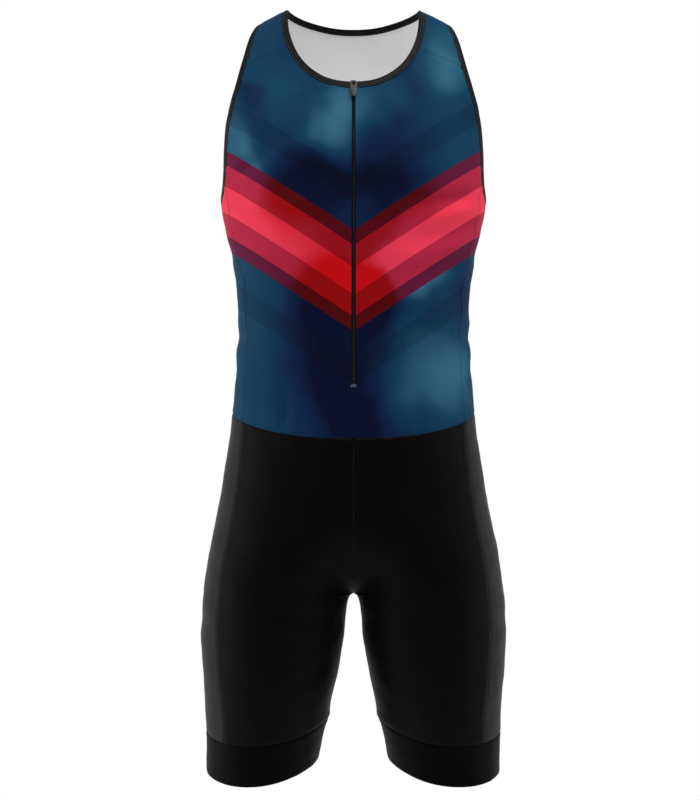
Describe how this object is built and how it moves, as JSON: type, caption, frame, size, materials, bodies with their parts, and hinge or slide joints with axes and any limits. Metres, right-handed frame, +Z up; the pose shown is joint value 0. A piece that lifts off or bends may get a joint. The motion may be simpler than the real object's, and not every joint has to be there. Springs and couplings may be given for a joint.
{
  "type": "triathlon suit",
  "caption": "Sleeveless one-piece triathlon suit with a half-length front zip and short legs, filled out as worn and open at neck, armholes and legs.",
  "frame": {"origin": "midway between the two shoulder straps, at the height where the tops of the straps rest on the wearer's shoulders", "axes": "+Z up the body, the front with the zip faces -Y, +X is the wearer's left"},
  "size_m": [0.377, 0.2302, 0.9493],
  "materials": {
    "printed_jersey": "smooth warp-knitted nylon and elastane, dye-printed teal to navy, white on the inside",
    "black_jersey": "dense matt black stretch jersey",
    "band_elastic": "firmer black stretch jersey, doubled at the leg end",
    "binding_tape": "folded black elastic tape with twin needle stitching",
    "zip_coil": "black woven polyester tape with a nylon coil",
    "zip_lacquer": "black lacquered zinc casting, semi-gloss"
  },
  "bodies": {
    "garment": {"front_panel": "printed_jersey", "back_panel": "printed_jersey", "side_panel_left": "printed_jersey", "side_panel_right": "printed_jersey", "shorts_front_left": "black_jersey", "shorts_front_right": "black_jersey", "shorts_back_left": "black_jersey", "shorts_back_right": "black_jersey", "shorts_side_left": "black_jersey", "shorts_side_right": "black_jersey", "leg_band_left": "band_elastic", "leg_band_right": "band_elastic", "neck_binding": "binding_tape", "armhole_binding_left": "binding_tape", "armhole_binding_right": "binding_tape", "zip_tape": "zip_coil", "zip_stop": "zip_coil", "zip_slider": "zip_lacquer"},
    "pull_tab": {"zip_pull_tab": "zip_lacquer"}
  },
  "joints": [
    {"name": "pull_tab_hinge", "type": "hinge", "parent": "garment", "child": "pull_tab", "pos_m": [0, -0.09927, -0.10191], "axis": [-1, 0, 0], "range_deg": [0, 150]}
  ]
}
